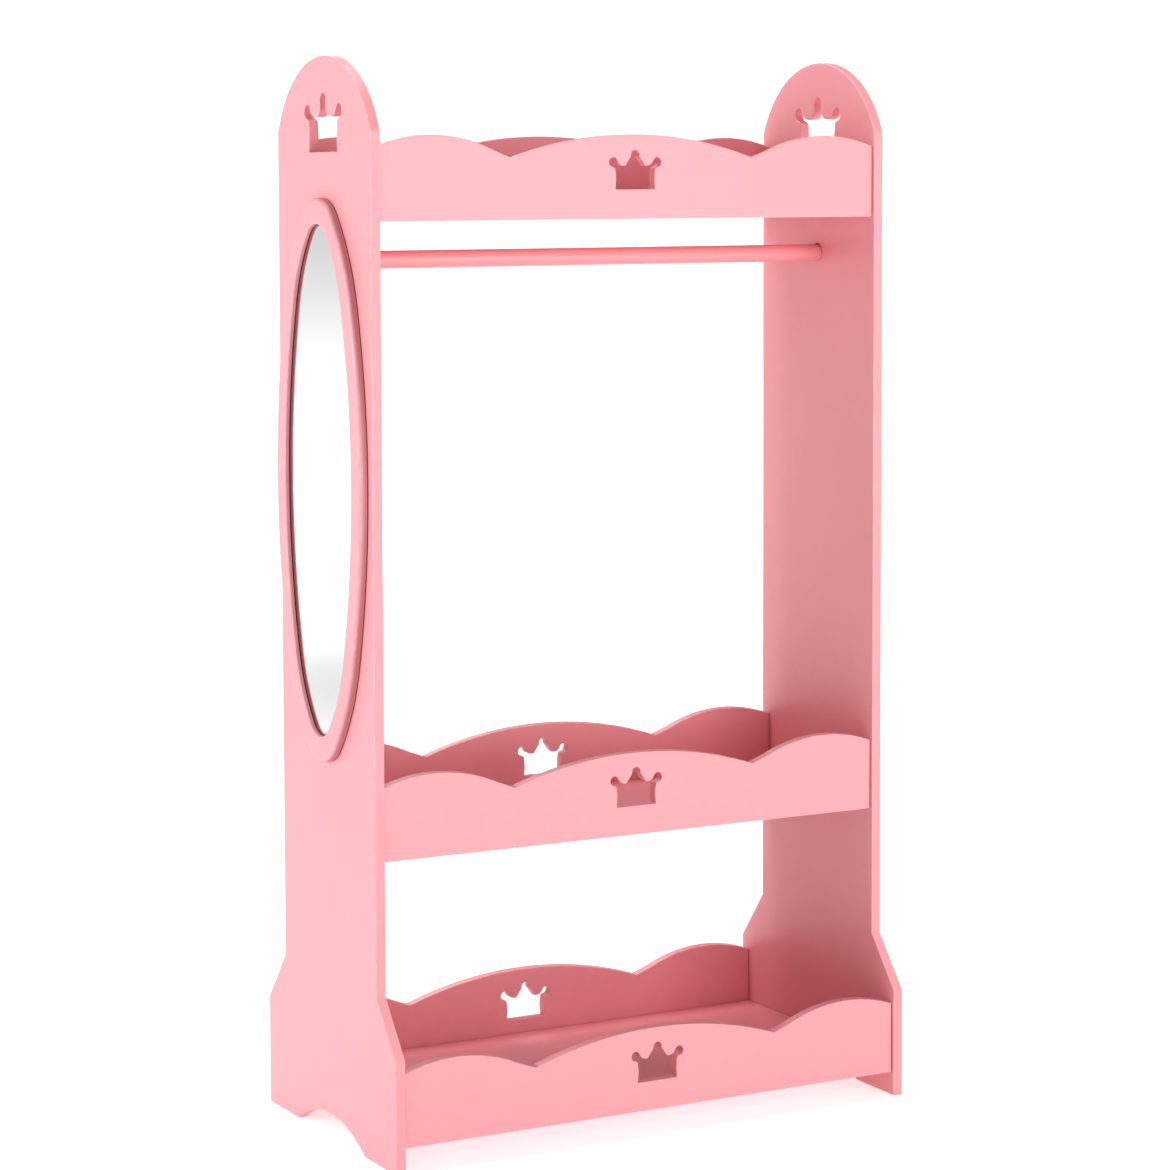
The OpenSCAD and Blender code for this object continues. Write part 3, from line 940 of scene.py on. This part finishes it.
def cut_board(name: str, loops: Sequence[Loop], thickness: float, arris: float,
              paint: Material) -> Object:
    """Cuts a flat board from its outline and rounds its arrises.

    Args:
        name: The piece's name.
        loops: The outline, then any cut-outs.
        thickness: The board's thickness.
        arris: Radius of the rounded arrises.
        paint: Its finish.

    Returns:
        The board, its lower face on z = 0.
    """
    curve = bpy.data.curves.new(name, "CURVE")
    curve.dimensions, curve.fill_mode = "2D", "BOTH"
    curve.extrude, curve.bevel_depth = thickness / 2 - arris, arris
    curve.bevel_resolution, curve.offset = 2, -arris
    for loop in loops:
        spline = curve.splines.new("POLY")
        spline.points.add(len(loop) - 1)
        for point, p in zip(spline.points, loop):
            point.co = (p.real, p.imag, 0.0, 1.0)
        spline.use_cyclic_u = True
    board = bpy.data.objects.new(name, curve)
    bpy.context.scene.collection.objects.link(board)
    alone(board)
    bpy.ops.object.convert(target="MESH")
    board = bpy.context.object
    bpy.ops.object.mode_set(mode="EDIT")
    bpy.ops.mesh.select_all(action="SELECT")
    bpy.ops.mesh.remove_doubles(threshold=TINY)
    bpy.ops.mesh.dissolve_degenerate(threshold=TINY)
    bpy.ops.mesh.normals_make_consistent(inside=False)
    bpy.ops.object.mode_set(mode="OBJECT")
    board.data.materials.clear()
    board.data.materials.append(paint)
    place(board, Matrix.Identity(3), Vector((0, 0, thickness / 2)))
    return board


def finish(obj: Object, axis: Vector, node: str) -> None:
    """Marks and smooths a painted board, and lets it stand for its CAD node.

    Args:
        obj: The piece.
        axis: The direction of its thickness.
        node: The CAD node that it replaces.
    """
    marks(obj, axis)
    smooth(obj)
    hand_over(obj, "carcass", node)


def hand_over(obj: Object, body: str, node: str) -> None:
    """Puts a piece on its body and hides the CAD node it stands for.

    Args:
        obj: The piece.
        body: The body that it rides on.
        node: The CAD node that it replaces.
    """
    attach(obj, body)
    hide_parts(node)
    low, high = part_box(node)
    LOG.info("%s for %s, %d faces, node %s to %s", obj.name, node, len(obj.data.polygons),
             tuple(round(v, 4) for v in low), tuple(round(v, 4) for v in high))


# ---- the carcass


@dataclass(frozen=True)
class Layout:
    """Sizes and places that the boards share, in metres."""

    middle_x: float = 5 * MM
    width: float = 652 * MM
    board: float = 12 * MM
    depth: float = 243 * MM
    foot_depth: float = 337 * MM
    recess: float = 4 * MM
    rail_z: Mapping[Level, float] = field(default_factory=lambda: {
        Level.TOP: 1020.5 * MM, Level.MIDDLE: 329.5 * MM, Level.BOTTOM: 27 * MM})
    shelf_lift: float = 4.5 * MM
    cam_width: float = 12 * MM
    cam_depth: float = 9.5 * MM
    cam_setback: float = 24 * MM
    cam_rise: float = 56 * MM
    shelf_cam_inset: float = 35 * MM

    @property
    def inner(self) -> float:
        """Half the clear width between the side panels."""
        return self.width / 2 - self.board

    def rail_face(self, level: Level) -> float:
        """Distance of a rail's outer face from the middle."""
        depth = self.foot_depth if level is Level.BOTTOM else self.depth
        return depth / 2 - self.recess

    def shelf_half(self, level: Level) -> float:
        """Half the depth of a shelf."""
        return self.rail_face(level) - self.board

    def cam_bores(self, ys: Sequence[float], z: float, way: Vector) -> list[Bore]:
        """The mouths of a board's cam locks.

        Args:
            ys: Where they are from front to back, at each end of the board.
            z: How high they start.
            way: Which way they are drilled.

        Returns:
            The bores.
        """
        xs = (self.middle_x + s.value * (self.inner - self.cam_setback) for s in Side)
        return [Bore(Vector((x, y, z)), way, self.cam_width, self.cam_depth)
                for x in xs for y in ys]


@dataclass
class Board:
    """A painted board; each kind gives its name, arris, turn, axis, place, outline and bores."""

    layout: Layout

    def build(self, finishes: Finishes) -> None:
        """Models the board.

        Args:
            finishes: The materials.
        """
        name, thick = self.name, self.layout.board
        board = cut_board(f"painted_{name}", self.outline(), thick, self.arris, finishes.pink)
        place(board, self.turn, Vector(self.at()))
        drill(board, self.bores(), finishes.raw)
        finish(board, self.axis, name)


@dataclass
class SidePanel(Board):
    """A side panel: domed top, flared foot, arch in its lower edge and a crown."""

    side: Side
    screws: Sequence[complex]
    height: float = 1200 * MM
    foot_height: float = 124 * MM
    flare_height: float = 59 * MM
    dome_rise: float = 83 * MM
    arch_span: float = 180 * MM
    arch_rise: float = 26.5 * MM
    crown_scale: float = 1.48
    crown_drop: float = 105 * MM
    crown_flare: float = 7.2 * MM
    socket_width: float = 21.5 * MM
    socket_depth: float = 8 * MM
    socket_z: float = 976.95 * MM
    screw_width: float = 7.3 * MM
    screw_depth: float = 1.75 * MM
    arris: float = 1.2 * MM
    turn: ClassVar[Matrix] = X_BACK_Y_UP
    axis: ClassVar[Vector] = Vector((1, 0, 0))

    @property
    def name(self) -> str:
        """The panel's CAD node."""
        return f"{self.side.name.lower()}_side_panel"

    def at(self) -> Triple:
        """Places the panel.

        Returns:
            The middle of its lower edge, at its left face.
        """
        right = self.side is Side.RIGHT
        left = self.layout.inner if right else -self.layout.width / 2
        return self.layout.middle_x + left, 0, 0

    def outline(self) -> list[Loop]:
        """Draws the panel, x to the back and y up.

        Returns:
            Its outline and its crown.
        """
        half, foot = self.layout.depth / 2, self.layout.foot_depth / 2
        knee, spring = self.foot_height + self.flare_height, self.height - self.dome_rise
        dome_r = lobe_radius(half, self.dome_rise)
        arch_r = lobe_radius(self.arch_span / 2, self.arch_rise)
        dome, arch = complex(0, self.height - dome_r), complex(0, self.arch_rise - arch_r)
        ends = complex(self.arch_span / 2, 0)
        right = [complex(foot, 0), complex(foot, self.foot_height), complex(half, knee)]
        crown = Crown(flare=self.crown_flare)
        return [
            [
                *arc(arch, arch_r, -ends, ends, clockwise=True),
                *right,
                *arc(dome, dome_r, complex(half, spring), complex(-half, spring)),
                *mirrored(right),
            ],
            crown.loop(complex(0, self.height - self.crown_drop), self.crown_scale),
        ]

    def bores(self) -> list[Bore]:
        """Drills the panel from inside.

        Returns:
            The rod's socket and, on the left, the holes of the mirror frame's screws.
        """
        sign = self.side.value
        face = self.layout.middle_x + sign * self.layout.inner
        out = Vector((sign, 0, 0))
        bores = [Bore(Vector((face, 0, self.socket_z)), out, self.socket_width, self.socket_depth)]
        if self.side is Side.LEFT:
            bores += [Bore(Vector((face, p.real, p.imag)), out, self.screw_width, self.screw_depth)
                      for p in self.screws]
        return bores


@dataclass
class Rail(Board):
    """A scalloped rail: three lobes, two dips and a crown."""

    level: Level
    face: Face
    end_height: float = 81 * MM
    dip_height: float = 67.5 * MM
    middle_height: float = 93.5 * MM
    side_height: float = 92.5 * MM
    dip_gap: float = 307 * MM
    flank_run: float = 21.5 * MM
    flank_climb: float = 8 * MM
    crown_sill: float = 33 * MM
    chord: float = 4 * MM
    arris: float = 1.0 * MM
    turn: ClassVar[Matrix] = X_RIGHT_Y_UP
    axis: ClassVar[Vector] = Vector((0, 1, 0))

    @property
    def name(self) -> str:
        """The rail's CAD node."""
        return f"{self.level.value}_{self.face.name.lower()}_rail"

    def at(self) -> Triple:
        """Places the rail.

        Returns:
            The middle of its lower edge, at its back face.
        """
        layout, half = self.layout, self.layout.board / 2
        back = self.face.value * (layout.rail_face(self.level) - half) + half
        return layout.middle_x, back, layout.rail_z[self.level]

    def bores(self) -> list[Bore]:
        """The locks' mouths, in the back face."""
        _, back, z = self.at()
        return self.layout.cam_bores([back], z + self.layout.cam_rise, -self.axis)

    def side_top(self) -> float:
        """Finds where a side lobe is highest, so that its arc meets both of its ends.

        Returns:
            Its distance from the middle of the rail.
        """
        x1 = self.dip_gap / 2 + self.flank_run
        d1 = self.side_height - self.dip_height - self.flank_climb
        x2, d2 = self.layout.inner, self.side_height - self.end_height
        a, b = d2 - d1, 2 * (x2 * d1 - x1 * d2)
        c = d2 * (x1 * x1 + d1 * d1) - d1 * (x2 * x2 + d2 * d2)
        return -c / b if abs(a) < TINY else (-b + math.sqrt(b * b - 4 * a * c)) / (2 * a)

    def outline(self) -> list[Loop]:
        """Draws the rail, x to the right and y up from its lower edge.

        Returns:
            Its outline and its crown.
        """
        inner, dip = self.layout.inner, complex(self.dip_gap / 2, self.dip_height)
        flank = dip + complex(self.flank_run, self.flank_climb)
        end, top = complex(inner, self.end_height), self.side_top()
        side_r = lobe_radius(inner - top, self.side_height - self.end_height)
        mid_r = lobe_radius(dip.real, self.middle_height - self.dip_height)
        side, mid = complex(top, self.side_height - side_r), complex(0, self.middle_height - mid_r)
        right = [complex(inner, 0), *arc(side, side_r, end, flank, chord=self.chord)]
        middle = arc(mid, mid_r, dip, mirrored([dip])[0], chord=self.chord)
        return [[*right, *middle, *mirrored(right)], Crown().loop(complex(0, self.crown_sill))]


@dataclass
class Shelf(Board):
    """The flat board between a tray's rails."""

    level: Level
    arris: float = 0.5 * MM
    turn: ClassVar[Matrix] = Matrix.Identity(3)
    axis: ClassVar[Vector] = Vector((0, 0, 1))

    @property
    def name(self) -> str:
        """The shelf's CAD node."""
        return f"{self.level.value}_shelf"

    def at(self) -> Triple:
        """The middle of the shelf's lower face."""
        return self.layout.middle_x, 0, self.layout.rail_z[self.level] + self.layout.shelf_lift

    def outline(self) -> list[Loop]:
        """The shelf's outline, x to the right and y to the back."""
        x, y = self.layout.inner, self.layout.shelf_half(self.level)
        return [[complex(-x, -y), complex(x, -y), complex(x, y), complex(-x, y)]]

    def bores(self) -> list[Bore]:
        """The locks' mouths, in the lower face."""
        reach = self.layout.shelf_half(self.level) - self.layout.shelf_cam_inset
        return self.layout.cam_bores([-reach, reach], self.at()[2], self.axis)


@dataclass
class Carcass:
    """Side panels, trays and the fittings that join them."""

    layout: Layout

    def build(self, finishes: Finishes, screws: Sequence[complex]) -> None:
        """Models the boards and dresses the fittings.

        Args:
            finishes: The materials.
            screws: Where the mirror frame's screws stand.
        """
        for side in Side:
            SidePanel(self.layout, side, screws).build(finishes)
        for level in Level:
            Shelf(self.layout, level).build(finishes)
            for face in Face:
                Rail(self.layout, level, face).build(finishes)
        for node, material in {
            "cam_locks": finishes.cast,
            "cam_bolts": finishes.steel,
            "wood_dowels": finishes.beech,
            "mirror_backing_pad": finishes.felt,
            "mirror_frame_screws": finishes.steel,
        }.items():
            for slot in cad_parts[node].material_slots:
                slot.material = material
            LOG.info("%s dressed in %s", node, material.name)


# ---- the mirror


@dataclass
class OvalMirror:
    """The mirror on the left panel: ring, sunk glass, pad and screws."""

    layout: Layout
    width: float = 222 * MM
    height: float = 621 * MM
    thick: float = 10 * MM
    rim_side: float = 24 * MM
    rim_end: float = 28 * MM
    lip: float = 5 * MM
    glass: float = 3 * MM
    glass_arris: float = 0.4 * MM
    glass_back: float = 8 * MM
    pad: float = 1.5 * MM
    gap: float = 0.5 * MM
    outer_round: float = 4 * MM
    outer_facets: int = 8
    # Painted shade on the ring: near-black where its foot meets the panel, fading up its outer
    # wall.
    outer_shade: float = 0.32
    foot_shade: float = 0.9
    sight_round: float = 1.5 * MM
    sight_facets: int = 5
    middle_z: float = 734.5 * MM
    screw_count: int = 6
    count: int = 224
    # How far inside the ring's opening the glass has a loop, and the painted dark reflection's
    # mark there.
    rim_reflection_fade: tuple[tuple[float, float], ...] = (
        (-0.5 * MM, 1.0), (1.0 * MM, 1.0), (6.0 * MM, 0.85), (9.0 * MM, 0.0))
    rim_reflection_narrowest: float = 0.3

    def grown(self, by: float) -> Oval:
        """The oval of the ring's opening, grown all round."""
        width, height = self.width - 2 * self.rim_side, self.height - 2 * self.rim_end
        return Oval(width + 2 * by, height + 2 * by)

    def screws(self) -> list[complex]:
        """Spreads the screws round the ring.

        Returns:
            Their places, as (y, z).
        """
        rebate = self.grown(self.lip)
        w, h = (rebate.width + self.width) / 4, (rebate.height + self.height) / 4
        turns = (math.radians(360 / self.screw_count * k) for k in range(self.screw_count))
        return [complex(-w * math.cos(a), self.middle_z + h * math.sin(a)) for a in turns]

    def carry(self, name: str, mark: str, steps: Sequence[Step]) -> Object:
        """Carries a loop of edges round a section by extruding it from step to step.

        Args:
            name: The piece's name.
            mark: The attribute that keeps the steps' marks.
            steps: Where the loop lies at each step, how high, and its mark.

        Returns:
            The open shell.
        """
        angles = Oval(self.width, self.height).angles(self.count)
        bpy.ops.object.select_all(action="DESELECT")
        bpy.ops.mesh.primitive_circle_add(vertices=self.count, radius=self.width / 2)
        shell = bpy.context.object
        shell.name = name
        for step, (where, z, _) in enumerate(steps):
            if step:
                bpy.ops.object.mode_set(mode="EDIT")
                bpy.ops.mesh.extrude_edges_move()
                bpy.ops.object.mode_set(mode="OBJECT")
            chosen = [v for v in shell.data.vertices if v.select]
            for vertex, angle in zip(chosen, angles):
                p = where(angle)
                vertex.co = (p.real, p.imag, z)
        store(shell.data, mark, "POINT", (value for *_, value in steps for _ in angles))
        return shell

    def rounding(
        self, oval: Oval, radius: float, side: int, count: int, shade: float = 0.0
    ) -> list[Step]:
        """Steps round a rounded edge of the face, from its wall to the face.

        Args:
            oval: The outline that the wall stands on.
            radius: The rounding's radius.
            side: 1 where the wood is inside the outline, -1 where it is outside.
            count: Facets of the rounding.
            shade: The painted shade at the wall, which fades to none at the face.

        Returns:
            The steps.
        """
        steps = []
        for k in range(count + 1):
            a = math.pi / 2 * k / count
            inwards = side * radius * (1 - math.cos(a))
            steps.append((
                lambda angle, d=inwards: oval.point(angle, d),
                self.thick - radius * (1 - math.sin(a)),
                shade * (1 - k / count),
            ))
        return steps

    def onto_panel(self, obj: Object) -> None:
        """Puts a piece that was modelled flat onto the panel's outer face."""
        face = self.layout.middle_x - self.layout.width / 2
        place(obj, X_FRONT_Y_UP, Vector((face, 0, self.middle_z)))

    def ring(self, finishes: Finishes) -> None:
        """Models the ring, its section carried round and closed on itself.

        Args:
            finishes: The materials.
        """
        outer, sight, rebate = Oval(self.width, self.height), self.grown(0), self.grown(self.lip)
        seat = self.pad + self.glass
        ring = self.carry("painted_mirror_ring", GAP_SHADE_MARK, [
            (outer.point, 0.0, self.foot_shade),
            (outer.point, 0.7 * MM, self.foot_shade),
            (outer.point, 1.1 * MM, self.outer_shade),
            *self.rounding(outer, self.outer_round, 1, self.outer_facets, self.outer_shade),
            *reversed(self.rounding(sight, self.sight_round, -1, self.sight_facets)),
            # Painted shade: a near-black line low on the sight wall, where the glass sits.
            (sight.point, seat + 1.2 * self.gap, 0.0),
            (sight.point, seat + 1.1 * self.gap, 1.0),
            (sight.point, seat, 1.0),
            (rebate.point, seat, 0.0),
            (rebate.point, 0.0, 0.0),
        ])
        close_shell(ring, bpy.ops.mesh.bridge_edge_loops)
        ring.data.materials.append(finishes.pink)
        self.onto_panel(ring)
        finish(ring, Vector((1, 0, 0)), "mirror_frame")

    def plate(self, finishes: Finishes) -> None:
        """Models the glass, with loops near the ring that carry the painted dark reflection.

        Args:
            finishes: The materials.
        """
        sight, arris = self.lip - self.gap, self.glass_arris
        edge, low, top = self.grown(sight), self.pad, self.pad + self.glass

        def narrowing(angle: float) -> float:
            """How wide the painted reflection is at an angle, beside its width at the sides."""
            return self.rim_reflection_narrowest + (1 - self.rim_reflection_narrowest) * abs(math.cos(angle))

        glass = self.carry("silvered_mirror_glass", RIM_REFLECTION_MARK, [
            (lambda a: edge.point(a, self.glass_back), low, 0.0),
            (lambda a: edge.point(a, arris), low, 0.0),
            (edge.point, low + arris, 0.0),
            (edge.point, top - arris, 0.0),
            (lambda a: edge.point(a, arris), top, 0.0),
            *[(lambda a, d=reach: edge.point(a, sight + d * narrowing(a)), top, mark)
              for reach, mark in self.rim_reflection_fade],
        ])
        close_shell(glass, bpy.ops.mesh.edge_face_add)
        glass.data.materials.append(finishes.mirror)
        self.onto_panel(glass)
        smooth(glass)
        hand_over(glass, "carcass", "mirror_glass")

    def build(self, finishes: Finishes) -> None:
        """Models the mirror."""
        self.ring(finishes)
        self.plate(finishes)


# ---- the rod


@dataclass
class HangingRod:
    """The round rod in its two blind holes."""

    layout: Layout
    width: float = 20 * MM
    axis_z: float = 976.5 * MM
    socket: float = 8 * MM
    end_play: float = 0.5 * MM
    end_round: float = 1.5 * MM
    facets: int = 96
    end_facets: int = 5

    def build(self, finishes: Finishes) -> None:
        """Models the rod.

        Args:
            finishes: The materials.
        """
        half = self.layout.inner + self.socket - self.end_play
        bpy.ops.object.select_all(action="DESELECT")
        bpy.ops.mesh.primitive_cylinder_add(
            vertices=self.facets, radius=self.width / 2, depth=2 * half
        )
        rod = bpy.context.object
        rod.name = "painted_hanging_rod"
        bpy.ops.object.mode_set(mode="EDIT")
        bpy.ops.mesh.select_mode(type="EDGE")
        bpy.ops.mesh.select_all(action="DESELECT")
        bpy.ops.object.mode_set(mode="OBJECT")
        for edge in rod.data.edges:
            a, b = (rod.data.vertices[i].co for i in edge.vertices)
            edge.select = abs(a.z - b.z) < TINY and abs(abs(a.z) - half) < TINY
        bpy.ops.object.mode_set(mode="EDIT")
        bpy.ops.mesh.bevel(offset=self.end_round, segments=self.end_facets, affect="EDGES")
        bpy.ops.mesh.select_mode(type="VERT")
        bpy.ops.object.mode_set(mode="OBJECT")
        place(rod, Z_RIGHT, Vector((self.layout.middle_x, 0, self.axis_z)))
        rod.data.materials.clear()
        rod.data.materials.append(finishes.rod)
        smooth(rod)
        hand_over(rod, "rod", "hanging_rod")


# ---- the studio


@dataclass(frozen=True)
class Lamp:
    """A soft square lamp: where it hangs, what it shines at, its side and its watts."""

    name: str
    at: Triple
    towards: Triple
    size: float
    watts: float

    def hang(self) -> None:
        """Adds the lamp to the scene."""
        data = bpy.data.lights.new(self.name, "AREA")
        data.shape, data.size, data.energy = "SQUARE", self.size, self.watts
        lamp = bpy.data.objects.new(self.name, data)
        lamp.location = self.at
        way = Vector(self.towards) - Vector(self.at)
        lamp.rotation_euler = way.to_track_quat("-Z", "Y").to_euler()
        bpy.context.scene.collection.objects.link(lamp)


@dataclass
class Studio:
    """Floor, light and camera."""

    floor_radius: float = 15.0
    eye: Triple = (-1.84164, -3.36776, 1.07430)
    yaw: float = math.radians(29.0458)
    pitch: float = math.radians(-4.1856)
    roll: float = math.radians(-0.1351)
    focal: float = 3364.20
    principal: tuple[float, float] = (603.34, 416.60)
    picture: float = 1170.0
    sensor: float = 36.0
    wall: float = 0.9
    card: float = 0.5
    ceiling: float = 0.2
    ceiling_band: tuple[float, float] = (0.05, 0.12)
    card_band: tuple[float, float] = (-0.09, -0.01)
    card_side: tuple[float, float] = (-0.42, -0.2)
    lamps: tuple[Lamp, ...] = (
        Lamp("left_lamp", (-2.6, 0.1, 1.15), (0, 0, 1.0), 0.5, 17.0),
        Lamp("front_lamp", (0.8, -2.75, 1.15), (0, 0, 0.7), 1.4, 20.0),
        Lamp("low_lamp", (-0.1, -2.6, 0.45), (0, 0, 0.3), 1.0, 6.0),
        Lamp("top_lamp", (0.0, 0.6, 3.0), (0, 0, 0.7), 1.4, 27.0),
        Lamp("back_lamp", (0.3, 2.6, 1.9), (0, 0, 0.5), 1.2, 12.0),
    )

    def floor(self) -> None:
        """Lays a wide pale floor."""
        bpy.ops.object.select_all(action="DESELECT")
        bpy.ops.mesh.primitive_circle_add(
            vertices=96, radius=self.floor_radius, fill_type="NGON"
        )
        floor = bpy.context.object
        floor.name = "studio_floor"
        floor.data.materials.append(StudioFloor().material())

    def camera(self) -> None:
        """Sets the camera where the photograph was taken from."""
        cos, sin = math.cos, math.sin
        yaw, pitch, roll = self.yaw, self.pitch, self.roll
        look = Vector((sin(yaw) * cos(pitch), cos(yaw) * cos(pitch), sin(pitch)))
        level = Vector((cos(yaw), -sin(yaw), 0))
        upright = level.cross(look)
        right = cos(roll) * level + sin(roll) * upright
        up = -sin(roll) * level + cos(roll) * upright
        data = bpy.data.cameras.new("photograph")
        data.sensor_width = self.sensor
        data.lens = self.focal / self.picture * self.sensor
        data.shift_x = (self.picture / 2 - self.principal[0]) / self.picture
        data.shift_y = (self.principal[1] - self.picture / 2) / self.picture
        data.clip_start, data.clip_end = 0.05, 100.0
        camera = bpy.data.objects.new("photograph", data)
        bpy.context.scene.collection.objects.link(camera)
        axes = Matrix((right, up, -look)).transposed().to_4x4()
        camera.matrix_world = Matrix.Translation(Vector(self.eye)) @ axes
        bpy.context.scene.camera = camera

    def sky(self) -> None:
        """Surrounds the set with a white wall, a dim ceiling and a grey card on the left."""
        world = bpy.data.worlds.new("white_room")
        g = Graph(world, "Generated")
        way = g.node("ShaderNodeSeparateXYZ", {}, {0: g.coords}).outputs
        up, across = Signal(g, way["Z"]), Signal(g, way["X"])
        wall = up.above(*self.ceiling_band, self.wall, self.ceiling)
        card = up.above(*self.card_band, self.wall, self.card)
        shade = g.blend(across.above(*self.card_side, 1.0, 0.0), wall, card)
        background = g.node("ShaderNodeBackground", {}, {"Color": shade})
        g.node("ShaderNodeOutputWorld", {}, {"Surface": background.outputs[0]})
        bpy.context.scene.world = world

    def light(self) -> None:
        """Hangs the lamps and sets how the light is shown."""
        for lamp in self.lamps:
            lamp.hang()
        view = bpy.context.scene.view_settings
        view.view_transform, view.look = "Standard", "High Contrast"
        view.exposure, view.gamma = 0.0, 1.0

    def build(self) -> None:
        """Sets up floor, camera and light."""
        self.floor()
        self.camera()
        self.sky()
        self.light()
        LOG.info("studio set")


def main() -> None:
    """Builds every piece in order."""
    logging.basicConfig(level=logging.INFO, format="%(name)s: %(message)s")
    layout, finishes = Layout(), Finishes()
    mirror = OvalMirror(layout)
    Studio().build()
    Carcass(layout).build(finishes, mirror.screws())
    mirror.build(finishes)
    HangingRod(layout).build(finishes)


if __name__ == "__main__":
    main()
